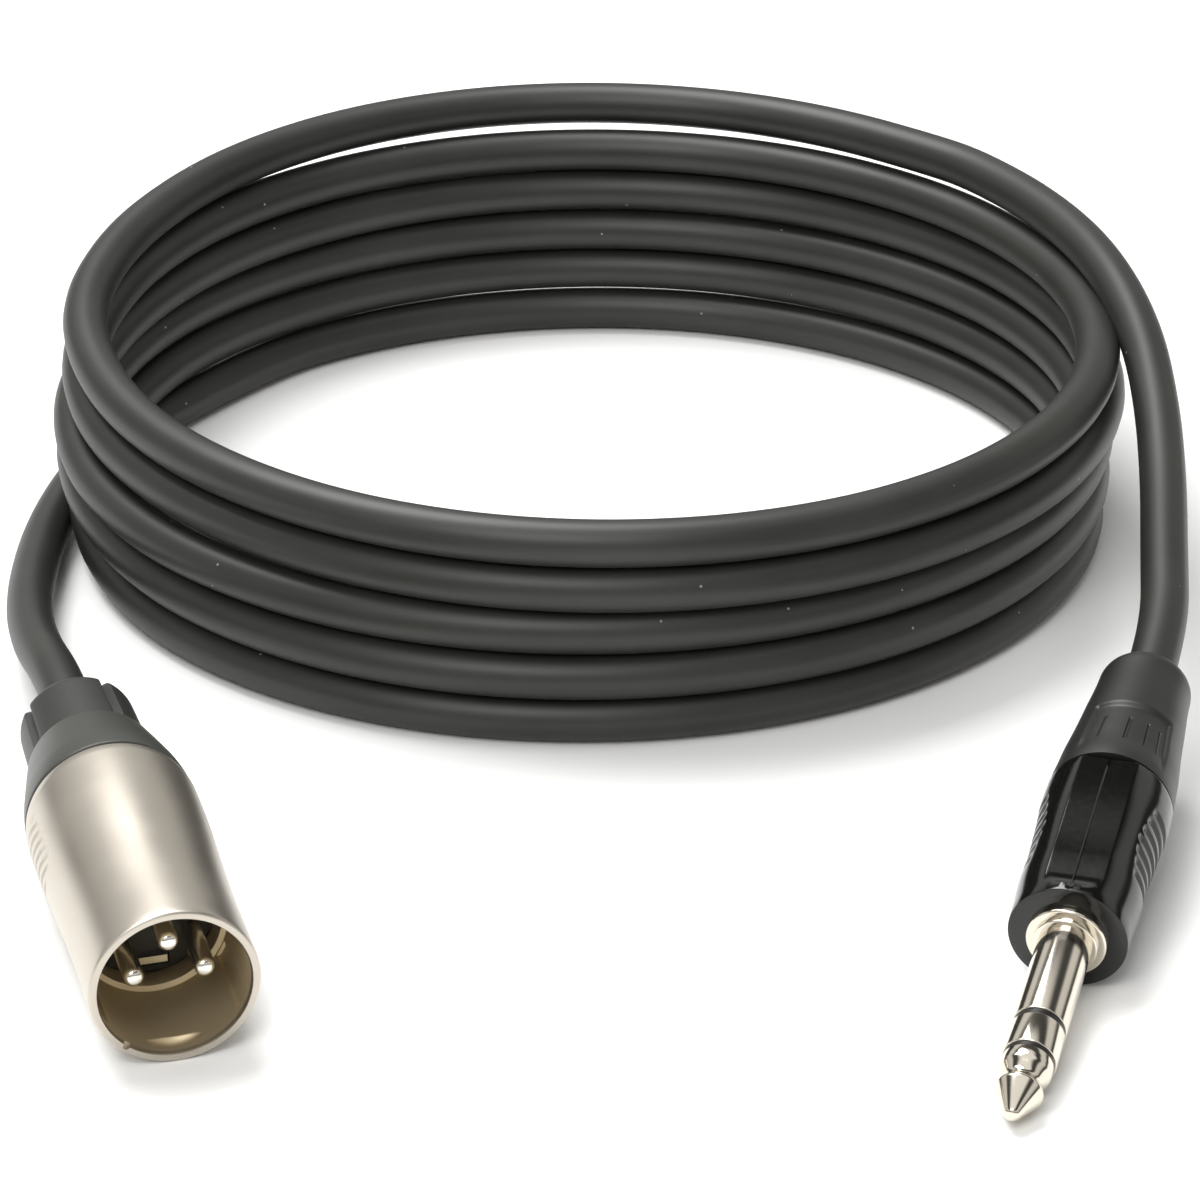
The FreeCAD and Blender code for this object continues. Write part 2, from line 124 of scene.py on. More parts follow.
# %% Make the jacket material
def soft_pvc_jacket():
    material, tree, shader = start_material("soft_pvc_jacket", {
        "Roughness": 0.46, "IOR": 1.5, "Specular IOR Level": 0.5})
    place = add_node(tree, "ShaderNodeTexCoord")
    skin = add_node(tree, "ShaderNodeTexNoise", {"Scale": 1 / (0.5 * MM), "Detail": 4.0, "Roughness": 0.6},
                    {"Vector": place.outputs["Object"]})
    patches = add_node(tree, "ShaderNodeTexNoise", {"Scale": 1 / (18 * MM), "Detail": 3.0},
                       {"Vector": place.outputs["Object"]})
    shade = add_node(tree, "ShaderNodeValToRGB", links={"Fac": patches.outputs["Fac"]})
    shade.color_ramp.elements[0].position, shade.color_ramp.elements[0].color = 0.35, linear("#20211e")
    shade.color_ramp.elements[1].position, shade.color_ramp.elements[1].color = 0.70, linear("#292a26")
    dust = add_node(tree, "ShaderNodeTexVoronoi", {"Scale": 1 / (5.5 * MM), "Randomness": 1.0},
                    {"Vector": place.outputs["Object"]})
    speck = add_node(tree, "ShaderNodeMath", {"operation": "LESS_THAN", 1: 0.03},
                     {0: dust.outputs["Distance"]})
    coat = add_node(tree, "ShaderNodeMix", {"data_type": "RGBA", 7: linear("#8c8a82")},
                    {0: speck.outputs[0], 6: shade.outputs["Color"]})
    tree.links.new(coat.outputs[2], shader.inputs["Base Color"])
    relief = add_node(tree, "ShaderNodeBump", {"Strength": 0.12, "Distance": 0.05 * MM},
                      {"Height": skin.outputs["Fac"]})
    tree.links.new(relief.outputs["Normal"], shader.inputs["Normal"])
    return material


jacket = soft_pvc_jacket()
print("material", jacket.name)

# %% [markdown]
# ## Where the connectors point
# Each connector is drawn along its own axis: its front face at z = 0, +z back towards the cable and
# +y up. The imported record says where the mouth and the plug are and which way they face, which is
# enough to build the matrix that puts such a piece in place.

# %% Build the two connector frames
def connector_frame(mount_name, mount_z):
    """Matrix from a connector's own axes to the object's; mount_z is the mount's place on them, in mm."""
    mount = next(m for m in frame["record"]["mounts"] if m["name"] == mount_name)
    back = -Vector(mount["axis"]).normalized()
    across = Vector((0, 0, 1)).cross(back).normalized()
    up = back.cross(across)
    origin = Vector(mount["pos_m"]) - back * mount_z * MM
    turn = Matrix((across, up, back)).transposed().to_4x4()
    return Matrix.Translation(origin) @ turn


XLR_LEN, JACK_LEN = 62.0, 50.0      # front face to the end of the boot, in mm
XLR_LEAD, JACK_LEAD = 12.0, 13.0    # straight stretch of cable behind each boot
PLUG_MOUNT_Z = -8.9                 # middle of the long sleeve
xlr_frame = connector_frame("xlr_mouth", 0.0)
jack_frame = connector_frame("jack_plug", PLUG_MOUNT_Z)
xlr_exit = xlr_frame @ Vector((0, 0, XLR_LEN * MM))
jack_exit = jack_frame @ Vector((0, 0, JACK_LEN * MM))
print("cable leaves the connectors at", [[round(v / MM, 1) for v in p] for p in (xlr_exit, jack_exit)])

# %% [markdown]
# ## The cable itself
# The cable is one length of something springy laid in a spiral, so one smooth curve is the honest way
# to model it: a NURBS spline with a round bevel. Its control points come in three runs. The first
# leaves the three-pin connector and goes back along the table. The middle one is the coil, worked
# out by a loop: six levels, one diameter apart, each a slightly oval ring of its own size, with a
# climb from level to level on the left, where each turn also bulges out a little. The last leaves the
# top turn and comes down to the jack plug.

# %% Route of the two loose ends, in metres
CABLE_D = 6.1 * MM
CABLE_R = CABLE_D / 2
TOP_Z = 11 * CABLE_R                # height of the top level
xlr_tail = [
    tuple(xlr_exit),
    tuple(xlr_frame @ Vector((0, 0, (XLR_LEN + XLR_LEAD) * MM))),
    (-0.0713, -0.0155, 0.0086),
    (-0.0739, -0.0010, 0.0064),
    (-0.0749, 0.0140, 0.0044),
    (-0.0749, 0.0290, CABLE_R),
    (-0.0727, 0.0435, CABLE_R),
    (-0.0690, 0.0570, CABLE_R),
    (-0.0632, 0.0690, CABLE_R),
]
jack_tail = [
    tuple(jack_exit),
    tuple(jack_frame @ Vector((0, 0, (JACK_LEN + JACK_LEAD) * MM))),
    (0.0731, -0.0110, 0.0187),
    (0.0746, 0.0045, 0.0217),
    (0.0753, 0.0200, 0.0256),
    (0.0746, 0.0360, 0.0296),
    (0.0712, 0.0525, 0.0327),
    (0.0650, 0.0698, TOP_Z),
    (0.0560, 0.0852, TOP_Z),
]
print("tails have", len(xlr_tail), "and", len(jack_tail), "points")

# %% The coil's levels, top first, in mm
# Mean radius, centre x, centre y, and how far the ring is from round along x and along the diagonal.
LEVELS = [
    (69.0, 3.6, 42.6, -1.5, -2.4),
    (67.6, 1.1, 42.2, 0.3, -0.6),
    (67.8, 1.5, 41.7, 0.7, -0.3),
    (67.8, -0.3, 41.5, 1.4, 0.3),
    (67.6, -0.1, 40.9, 1.1, 0.5),
    (67.0, -0.3, 40.4, 1.3, 0.6),
]
LEFT_BULGE = (5.9, 3.0, 3.3, 2.8, 1.4, 0.6)         # how far each level leans out on the left
BULGE_ANGLE, BULGE_SPREAD = 184.0, 22.0
CLIMB_FROM, CLIMB_TO = -145.0, -210.0               # degrees on the lowest turn, going round clockwise
START_ANGLE, LAST_ANGLE = 152.0, -1760.0            # where the first tail arrives, the last one leaves
STEP = 15.0                                         # 24 control points to a turn
SPLINE_CUT = 1 / math.cos(math.radians(STEP / 2))   # the spline runs inside its points by this much


def ring_point(level, angle):
    """A control point of one level, as if it were a closed ring."""
    radius, x, y, oval, slant = LEVELS[level]
    turn = math.radians(angle)
    off_side = (angle - BULGE_ANGLE + 180) % 360 - 180
    bulge = LEFT_BULGE[level] * math.exp(-(off_side / BULGE_SPREAD) ** 2)
    reach = (radius + oval * math.cos(2 * turn) + slant * math.sin(2 * turn) + bulge) * SPLINE_CUT
    flat_point = Vector((x + reach * math.cos(turn), y + reach * math.sin(turn), 0)) * MM
    return flat_point + Vector((0, 0, TOP_Z - level * CABLE_D))


# %% Work out the coil's control points
def coil_point(angle):
    """The coil's control point at an angle that runs on from turn to turn."""
    lowest = len(LEVELS) - 1
    turns_done = sum(angle < CLIMB_TO - 360 * k for k in range(lowest))
    level = lowest - turns_done
    if level == 0:
        return ring_point(0, angle)
    climbed = (CLIMB_FROM - 360 * turns_done - angle) / (CLIMB_FROM - CLIMB_TO)
    climbed = min(max(climbed, 0.0), 1.0)
    ease = climbed * climbed * (3 - 2 * climbed)
    return ring_point(level, angle).lerp(ring_point(level - 1, angle), ease)


coil = []
angle = START_ANGLE - STEP
while angle > LAST_ANGLE:
    coil.append(tuple(coil_point(angle)))
    angle -= STEP
print("coil has", len(coil), "points in", round((START_ANGLE - LAST_ANGLE) / 360, 2), "turns")

# %% Draw the cable as one spline
cable_points = xlr_tail[:-1] + coil + jack_tail[::-1]
cable_curve = bpy.data.curves.new("microphone_cable", "CURVE")
cable_curve.dimensions = "3D"
cable_curve.bevel_depth = CABLE_R
cable_curve.bevel_resolution = 8
cable_curve.use_fill_caps = True
spline = cable_curve.splines.new("NURBS")
spline.points.add(len(cable_points) - 1)
for point, place in zip(spline.points, cable_points):
    point.co = (*place, 1.0)
spline.order_u = 3
spline.use_endpoint_u = True
spline.resolution_u = 8
cable_curve.materials.append(jacket)
cable = bpy.data.objects.new("microphone_cable", cable_curve)
bpy.context.scene.collection.objects.link(cable)
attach(cable, "root")
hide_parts("cable_coil", "cable_tail_xlr", "cable_tail_jack")

# %% [markdown]
# ## Metals
# The connector shell is zinc alloy, bead blasted and then nickel plated, which gives a warm satin that
# spreads highlights into broad bands. The plug's shaft and flange are turned brass with bright nickel,
# nearly a mirror, and the contacts in the mouth are silver plated. The bore of the shell is rougher and
# lighter and yellower than the outside; its lighter colour is painted light, for the light that falls
# into the mouth, and an attribute on the mesh says where that is. A metal keeps the default IOR: its
# colour and its roughness do the work, with a fine grain so that no highlight is perfectly clean.

# %% Write the metal finish
def plated_metal(name, colours, roughness, grain_mm, grain_depth, smudge=0.06, painted_bore_light=None):
    """A plated metal with a fine grain and faint variation in how sharp it reflects."""
    material, tree, shader = start_material(name, {"Metallic": 1.0})
    place = add_node(tree, "ShaderNodeTexCoord")
    grain = add_node(tree, "ShaderNodeTexNoise", {"Scale": 1 / (grain_mm * MM), "Detail": 3.0},
                     {"Vector": place.outputs["Object"]})
    cloud = add_node(tree, "ShaderNodeTexNoise", {"Scale": 1 / (7 * MM), "Detail": 4.0},
                     {"Vector": place.outputs["Object"]})
    rough = add_node(tree, "ShaderNodeMapRange",
                     {"To Min": roughness - smudge, "To Max": roughness + smudge},
                     {"Value": cloud.outputs["Fac"]})
    tint = add_node(tree, "ShaderNodeMix",
                    {"data_type": "RGBA", 6: linear(colours[0]), 7: linear(colours[1])},
                    {0: cloud.outputs["Fac"]})
    colour_out, rough_out = tint.outputs[2], rough.outputs["Result"]
    # the bore's colour is lighter than the plating: painted light, for the light that falls into the mouth
    if painted_bore_light:
        wall = add_node(tree, "ShaderNodeAttribute", {"attribute_name": "bore_light_mask"})
        colour_out = add_node(tree, "ShaderNodeMix", {"data_type": "RGBA", 7: linear(painted_bore_light)},
                              {0: wall.outputs["Fac"], 6: colour_out}).outputs[2]
        rough_out = add_node(tree, "ShaderNodeMix", {3: BORE_ROUGHNESS},
                             {0: wall.outputs["Fac"], 2: rough_out}).outputs[0]
    tree.links.new(colour_out, shader.inputs["Base Color"])
    tree.links.new(rough_out, shader.inputs["Roughness"])
    relief = add_node(tree, "ShaderNodeBump", {"Strength": 0.25, "Distance": grain_depth * MM},
                      {"Height": grain.outputs["Fac"]})
    tree.links.new(relief.outputs["Normal"], shader.inputs["Normal"])
    return material


# %% Make the metals
BORE_ROUGHNESS = 0.58
# the bore colour #d8c9ab is painted lighter than the plating, standing in for light falling into the mouth
satin_nickel = plated_metal("satin_nickel_plate", ("#bdb6ab", "#c5beb3"), roughness=0.36,
                            grain_mm=0.22, grain_depth=0.010, painted_bore_light="#d8c9ab")
bright_nickel = plated_metal("bright_nickel_plate", ("#d8d0c2", "#dfd8cb"), roughness=0.13,
                             grain_mm=0.6, grain_depth=0.002, smudge=0.03)
silver_plate = plated_metal("silver_plate", ("#dedad0", "#e6e3da"), roughness=0.20,
                            grain_mm=0.5, grain_depth=0.003, smudge=0.04)
bare_copper = plated_metal("bare_copper_wire", ("#b87450", "#c98a64"), roughness=0.30,
                           grain_mm=0.25, grain_depth=0.02)
print("metals:", satin_nickel.name, bright_nickel.name, silver_plate.name, bare_copper.name)

# %% [markdown]
# ## Plastics and rubbers
# Everything else on the connectors is moulded. Glass-filled nylon makes the grey gland collar and the
# contact carrier, a soft thermoplastic rubber makes the two boots, and the jack's barrel is polished
# ABS. Moulded parts differ mostly in how rough the mould was, so one function makes them all: a base
# colour with slow variation, and the texture that the mould left, at its real size.

# %% Write the moulded finish
def moulded(name, colours, roughness, texture_mm, texture_depth):
    """A moulded plastic or rubber with the mould's own fine texture."""
    material, tree, shader = start_material(name, {"IOR": 1.5})
    place = add_node(tree, "ShaderNodeTexCoord")
    texture = add_node(tree, "ShaderNodeTexNoise", {"Scale": 1 / (texture_mm * MM), "Detail": 3.0},
                       {"Vector": place.outputs["Object"]})
    cloud = add_node(tree, "ShaderNodeTexNoise", {"Scale": 1 / (9 * MM), "Detail": 3.0},
                     {"Vector": place.outputs["Object"]})
    tint = add_node(tree, "ShaderNodeMix",
                    {"data_type": "RGBA", 6: linear(colours[0]), 7: linear(colours[1])},
                    {0: cloud.outputs["Fac"]})
    tree.links.new(tint.outputs[2], shader.inputs["Base Color"])
    rough = add_node(tree, "ShaderNodeMapRange",
                     {"To Min": roughness - 0.04, "To Max": roughness + 0.04},
                     {"Value": texture.outputs["Fac"]})
    tree.links.new(rough.outputs["Result"], shader.inputs["Roughness"])
    relief = add_node(tree, "ShaderNodeBump", {"Strength": 0.2, "Distance": texture_depth * MM},
                      {"Height": texture.outputs["Fac"]})
    tree.links.new(relief.outputs["Normal"], shader.inputs["Normal"])
    return material


# %% Make the plastics and rubbers: two colours, roughness, then the texture's size and depth in mm
grey_nylon = moulded("grey_black_nylon", ("#363733", "#3d3e3a"), 0.40, 0.25, 0.010)
carrier_nylon = moulded("black_carrier_nylon", ("#151513", "#1c1b19"), 0.45, 0.3, 0.010)
boot_rubber = moulded("soft_boot_rubber", ("#21221f", "#282925"), 0.46, 0.3, 0.015)
jack_boot_rubber = moulded("matte_grip_rubber", ("#161714", "#1d1e1b"), 0.44, 0.25, 0.012)
gloss_abs = moulded("gloss_black_abs", ("#060605", "#0b0b0a"), 0.14, 0.8, 0.002)
ring_plastic = moulded("black_insulator", ("#100f0e", "#161513"), 0.35, 0.5, 0.004)
natural_acetal = moulded("natural_acetal", ("#d9d6cc", "#e2dfd6"), 0.40, 0.3, 0.008)
red_pvc = moulded("red_core_pvc", ("#a5241d", "#b02c22"), 0.40, 0.3, 0.006)
white_pvc = moulded("white_core_pvc", ("#dddcd6", "#e6e5df"), 0.40, 0.3, 0.006)
print("plastics:", gloss_abs.name, grey_nylon.name, boot_rubber.name, jack_boot_rubber.name)

# %% [markdown]
# ## Turning pieces
# Almost every piece of a connector is turned or moulded round an axis. So a piece starts as half its
# outline, with its corners rounded by a vertex bevel, and is spun once round. What isn't round, such
# as lugs, windows, grip cuts and flats, is then pressed into the spun surface by a rule that gives
# each vertex a new distance from the axis.

# %% Spin an outline and finish the piece
SHARP_ANGLE = math.radians(34)      # an edge that turns more than this stays crisp
WELD = 0.002 * MM


def turned_piece(name, outline, place, material, steps=96, press=None, body="root", stands_for=None):
    """A piece spun from (r, z) or (r, z, rounding) corners in mm, then pressed by press(r, degrees, z)."""
    bm = bmesh.new()
    corners = [bm.verts.new((c[0] * MM, 0, c[1] * MM)) for c in outline]
    for i, corner in enumerate(corners):
        if outline[i][0] > 0 or outline[i - 1][0] > 0:
            bm.edges.new((corners[i - 1], corner))
    for size, corner in zip(outline, corners):
        if len(size) > 2:
            bmesh.ops.bevel(bm, geom=[corner], offset=size[2] * MM, offset_type="OFFSET",
                            affect="VERTICES", segments=5, profile=0.5, material=-1)
    bmesh.ops.spin(bm, geom=bm.verts[:] + bm.edges[:], cent=(0, 0, 0), axis=(0, 0, 1),
                   angle=2 * math.pi, steps=steps, use_merge=True)
    bmesh.ops.remove_doubles(bm, verts=bm.verts, dist=WELD)
    if press:
        for vert in bm.verts:
            r = math.hypot(vert.co.x, vert.co.y) / MM
            if r > 0.01:
                grow = press(r, math.degrees(math.atan2(vert.co.y, vert.co.x)), vert.co.z / MM) / r
                vert.co.x, vert.co.y = vert.co.x * grow, vert.co.y * grow
    bmesh.ops.recalc_face_normals(bm, faces=bm.faces)
    return finish_piece(bm, name, place, material, body, stands_for)


# %% Put a spun mesh in place
def finish_piece(bm, name, place, material, body, stands_for):
    """Smooth faces, sharp edges, then the mesh put in place and tied to its body and CAD nodes."""
    for face in bm.faces:
        face.smooth = True
    for edge in bm.edges:
        edge.smooth = edge.calc_face_angle(0.0) < SHARP_ANGLE
    bmesh.ops.transform(bm, matrix=place, verts=bm.verts)
    mesh = bpy.data.meshes.new(name)
    bm.to_mesh(mesh)
    bm.free()
    mesh.materials.append(material)
    piece = bpy.data.objects.new(name, mesh)
    bpy.context.scene.collection.objects.link(piece)
    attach(piece, body)
    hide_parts(stands_for)
    print(name, "has", sum(len(p.vertices) - 2 for p in mesh.polygons), "triangles")
    return piece


# %% Three helpers for outlines and pressed details
def smooth_rise(value, low, high):
    """0 below low, 1 above high, and an even slope between."""
    t = min(max((value - low) / (high - low), 0.0), 1.0)
    return t * t * (3 - 2 * t)


def away_from(degrees, middles):
    """Smallest angle between a direction and any of the middles."""
    return min(abs((degrees - m + 180) % 360 - 180) for m in middles)


def rows(low, high, pitch, radius):
    """Outline points on a radius(z) from low to high, about a pitch apart."""
    count = max(1, round(abs(high - low) / pitch))
    heights = [low + (high - low) * i / count for i in range(count + 1)]
    return [(radius(z), z) for z in heights]


# %% [markdown]
# ## The three-pin connector's shell
# The shell is a die-cast tube that swells gently towards the cable, so that it can be pulled out of a
# socket. Inside the mouth are two keyways that guide the socket's ribs, a lens-shaped recess in the
# floor for its latch, and a small step just before the contact carrier. Slanted cuts on both flanks
# give the fingers a grip. The wall is spun as one closed outline, and those details are pressed in.

# %% Write the shell's pressed details
BORE_R, MOUTH_R = 8.7, 9.75
KEYWAYS = ((-22, 8.5, 0.55), (-152, 5.7, 0.35))     # direction and half width in degrees, depth in mm
LATCH_R, LATCH_DROP = 5.0, 4.25                     # radius of the lens, its centre below the axis
LATCH_Z, LATCH_HALF = 2.4, 1.35
NOTCH_ANGLE = -50
GRIP_Z, GRIP_PITCH, GRIP_LEAN = 25.0, 1.7, 0.11     # first cut, step to the next, mm of lean per degree


def shell_radius(z):
    return MOUTH_R + 0.65 * smooth_rise(z, 10, 34) - 0.15 * smooth_rise(z, 36.5, 38)


def press_bore(r, degrees, z):
    """The keyways and the latch recess, in the wall of the mouth."""
    for middle, half_width, depth in KEYWAYS:
        if 1.5 < z < 12.9 and away_from(degrees, [middle]) < half_width:
            return r + depth
    turn = math.radians(degrees)
    lens = LATCH_R - 0.9 * ((z - LATCH_Z) / LATCH_HALF) ** 2
    reach = lens ** 2 - (LATCH_DROP * math.cos(turn)) ** 2
    if abs(z - LATCH_Z) < LATCH_HALF and reach > 0 and math.sin(turn) < 0:
        return max(r, -LATCH_DROP * math.sin(turn) + math.sqrt(reach))
    return r


def press_grip(r, degrees, z):
    """Slanted cuts on both flanks, which lean the same way round."""
    off = away_from(degrees, [0, 180])
    side = 1 if (abs(degrees) < 90) == (degrees > 0) else -1
    along = z - GRIP_Z + GRIP_LEAN * off * side + GRIP_PITCH / 2
    cut = max(0.0, 1 - ((along % GRIP_PITCH - GRIP_PITCH / 2) / 0.34) ** 2)
    fade = (1 - smooth_rise(off, 17, 27)) * smooth_rise(z, 24, 26) * (1 - smooth_rise(z, 34, 36))
    return r - 0.20 * cut * fade


def press_shell(r, degrees, z):
    if r < BORE_R + 0.1 and 0.9 < z < 13.0:
        return press_bore(r, degrees, z)
    if r < 9.0 and z < 0.4 and away_from(degrees, [NOTCH_ANGLE]) < 2.3:
        return r + 0.45
    if r > 9.5 and 23.5 < z < 36.5:
        return press_grip(r, degrees, z)
    return r


# %% Make the shell
outer_rows = rows(1.5, 23.0, 3.0, shell_radius) + rows(23.3, 36.8, 0.17, shell_radius)
bore_rows = rows(12.0, 5.0, 1.5, lambda z: BORE_R) + rows(4.0, 0.8, 0.1, lambda z: BORE_R)
shell_outline = ([(MOUTH_R, 0, 0.35)] + outer_rows
                 + [(10.25, 38.0, 0.25), (8.9, 38.0), (8.9, 30.2), (7.4, 30.2), (7.4, 28.6),
                    (8.12, 28.6), (8.12, 13.6), (BORE_R, 13.3), (BORE_R, 12.95), (BORE_R, 12.85)]
                 + bore_rows + [(BORE_R, 0.3), (BORE_R + 0.15, 0)])
shell = turned_piece("connector_shell", shell_outline, xlr_frame, satin_nickel, steps=240,
                     press=press_shell, stands_for="xlr_shell")

# %% Mark its bore, whose colour is painted lighter to stand in for light falling into the mouth
bore_light_mask = shell.data.attributes.new("bore_light_mask", "FLOAT", "POINT")
to_axis = xlr_frame.inverted()
for vert, mark in zip(shell.data.vertices, bore_light_mask.data):
    local = to_axis @ vert.co / MM
    mark.value = float(math.hypot(local.x, local.y) < 9.4 and local.z > 0.35)
print("marked", sum(mark.value > 0 for mark in bore_light_mask.data), "vertices of the bore")

# %% [markdown]
# ## Contacts in the mouth
# Three round contacts stand in the black carrier, on a circle 8.1 mm across, each with a well-rounded
# tip that leads it into its socket. They are spun like the rest, on axes beside the connector's own.

# %% Make the three contacts
PIN_CIRCLE = 4.05
pin_outline = [(0, 2.7), (1.2, 2.7, 0.9), (1.2, 16.7), (1.0, 16.7), (1.0, 28.6), (1.45, 28.9, 0.1),
               (1.45, 34.6, 0.1), (0, 34.6)]
for pin_name, pin_angle in (("1", 180), ("2", 0), ("3", 90)):
    turn = math.radians(pin_angle)
    beside = Matrix.Translation(Vector((math.cos(turn), math.sin(turn), 0)) * PIN_CIRCLE * MM)
    turned_piece("contact_pin_" + pin_name, pin_outline, xlr_frame @ beside, silver_plate,
                 steps=48, stands_for="xlr_pin_" + pin_name)

# %% [markdown]
# ## The gland: collar and boot
# The gland screws into the back of the shell and squeezes a slit chuck on the cable. Its collar is
# smooth grey-black nylon that carries on the shell's line and tapers down to a fine raised edge. The
# boot behind it is softer, with four broad lugs and narrow grooves between them, rounded at the end.

# %% Make the gland collar
def ridges(crest, root, low, pitch, turns):
    """Thread ridges as outline corners, each turn a ring."""
    shape = ((root, 0), (crest, 0.3), (crest, 0.55), (root, 0.85))
    return [(r, low + (i + along) * pitch) for i in range(turns) for r, along in shape]


SEAM_Z = 50.6
collar_outline = (ridges(8.6, 8.1, 31.6, 1.5, 4)
                  + [(8.6, 37.6), (8.6, 38.3), (10.25, 38.3, 0.3), (10.05, 40.6, 1.5), (9.45, 43.6, 1.5),
                     (7.95, 50.3, 0.4), (7.78, SEAM_Z, 0.12), (6.3, SEAM_Z), (7.6, 43.6, 1), (7.6, 31.2),
                     (8.1, 31.2)])
turned_piece("gland_collar", collar_outline, xlr_frame, grey_nylon, steps=160,
             body="xlr_gland", stands_for="xlr_gland_collar")

# %% Write the lugged boot's shape
LUG_MIDDLES = [75 + 90 * i for i in range(4)]


def boot_floor(z):
    return 6.75 - 0.06 * (z - SEAM_Z) - 0.6 * smooth_rise(z, 60.2, 62.0)


def lug_top(z):
    over = min(max((z - 59.9) / 1.8, 0.0), 1.0)
    return max(7.42 - 0.03 * (z - SEAM_Z) - 1.5 * (1 - math.sqrt(1 - over * over)), boot_floor(z))


def press_boot(r, degrees, z):
    if z < SEAM_Z or r < boot_floor(z) - 0.02:
        return r
    lug = 1 - smooth_rise(away_from(degrees, LUG_MIDDLES), 38.5, 43.5)
    return boot_floor(z) + (r - boot_floor(z)) * lug


# %% Make the lugged boot
boot_outline = rows(SEAM_Z, 61.7, 0.28, lug_top) + [
    (boot_floor(XLR_LEN), XLR_LEN, 0.15), (3.35, XLR_LEN, 0.25), (3.35, 54.2), (5.9, 54.2), (5.9, SEAM_Z)]
turned_piece("lugged_boot", boot_outline, xlr_frame, boot_rubber, steps=240,
             press=press_boot, body="xlr_gland", stands_for="xlr_boot")

# %% [markdown]
# ## The jack plug's barrel
# The barrel is one polished black moulding. Its crown is flattened, with the mould's parting line
# running down the middle, and both flanks are hollowed where the thumb and finger go, with seven
# curved grip cuts in each hollow. The front edge is well rounded and the face is flat.

# %% Write the barrel's shape
CROWN_HALF = 3.35                   # half the width of the flat along the crown
GRIP_CUTS = [8.6 + 1.9 * i for i in range(7)]
GRIP_MIDDLE = 14.3
CUT_HALF, CUT_DEPTH = 0.62, 0.40
PARTING_DEPTH = 0.13


def barrel_radius(z):
    swell = 0.25 * smooth_rise(z, 1, 8) + 0.45 * smooth_rise(z, 6, 21)
    return 7.05 + swell - 0.05 * smooth_rise(z, 22, 25.4)


def press_barrel(r, degrees, z):
    if r < 6.5 or z < 1.3:
        return r
    off = away_from(degrees, [0, 180])
    hollow = 0.28 * smooth_rise(z, 6.0, 13) * (1 - smooth_rise(z, 17, 23)) * (1 - smooth_rise(off, 20, 52))
    cut = max(max(0.0, 1 - ((z - middle) / CUT_HALF) ** 2) for middle in GRIP_CUTS)
    reach = 44 - 1.6 * abs(z - GRIP_MIDDLE)
    r -= hollow + CUT_DEPTH * cut * (1 - smooth_rise(off, reach - 8, reach))
    flat = math.sqrt(barrel_radius(z) ** 2 - CROWN_HALF ** 2) + 0.8 * (1 - smooth_rise(z, 1.2, 2.6))
    height = r * math.sin(math.radians(degrees))
    if height > flat:
        r *= flat / height
        if away_from(degrees, [90]) < 0.5:
            r -= PARTING_DEPTH
    return r


# %% Make the barrel
barrel_outline = ([(3.6, 0), (5.9, 0), (6.98, 0.12, 0.10), (barrel_radius(1.3), 1.3)]
                  + rows(2.0, 6.6, 1.0, barrel_radius) + rows(6.8, 22.6, 0.17, barrel_radius)
                  + [(barrel_radius(24), 24.0), (7.7, 25.4, 0.2), (5.9, 25.4), (5.9, 4.0), (3.6, 4.0)])
turned_piece("jack_barrel", barrel_outline, jack_frame, gloss_abs, steps=240,
             press=press_barrel, stands_for="jack_housing")

# %% [markdown]
# ## The jack plug's boot
# The boot screws on behind the barrel and grips the cable. It is matte rubber over a threaded skirt,
# widest at the barrel and drawn in towards the cable, with a rounded end. Two wide, shallow windows
# lie on opposite sides of its waist, each fading out towards the barrel, with four short slits in it.

# %% Write the boot's shape
WINDOW_MIDDLES = [98, 278]
SLITS = [70, 97, 117, 132, 250, 277, 297, 312]
WINDOW_DEPTH, SLIT_DEPTH = 0.40, 0.22


def jack_boot_radius(z):
    over = min(max((z - 48.2) / 1.8, 0.0), 1.0)
    return (7.6 - 0.25 * smooth_rise(z, 25.7, 30) - 0.85 * smooth_rise(z, 28.5, 40)
            - 0.75 * smooth_rise(z, 37, 49) - 0.85 * (1 - math.sqrt(1 - over * over)))


def press_jack_boot(r, degrees, z):
    if r < 6.0 or not 26.5 < z < 38.5:
        return r
    off = away_from(degrees, WINDOW_MIDDLES)
    along = smooth_rise(z, 26.8, 31.5) * (1 - smooth_rise(z, 37.0, 37.8))
    window = WINDOW_DEPTH * (1 - smooth_rise(off, 42.5, 45.5)) * along
    slit = SLIT_DEPTH if away_from(degrees, SLITS) < 1.1 and 30.0 < z < 34.6 else 0.0
    return r - window - slit


# %% Make the boot
jack_boot_outline = (ridges(5.6, 5.2, 18.2, 1.0, 5) + [(5.6, 23.6), (5.6, 25.7)]
                     + rows(25.7, 49.9, 0.24, jack_boot_radius)
                     + [(3.35, JACK_LEN, 0.2), (3.35, 37.5), (4.9, 34.5), (4.9, 17.8), (5.2, 17.8)])
turned_piece("jack_grip_boot", jack_boot_outline, jack_frame, jack_boot_rubber, steps=240,
             press=press_jack_boot, body="jack_gland", stands_for="jack_boot")

# %% [markdown]
# ## The plug's shaft
# A stereo plug has three contacts in line: the long sleeve, a ring, and a tip with a waist that the
# socket's spring drops into. Two thin black rings keep them apart, sunk a little below the metal, and
# a flange with a step closes the front of the barrel.

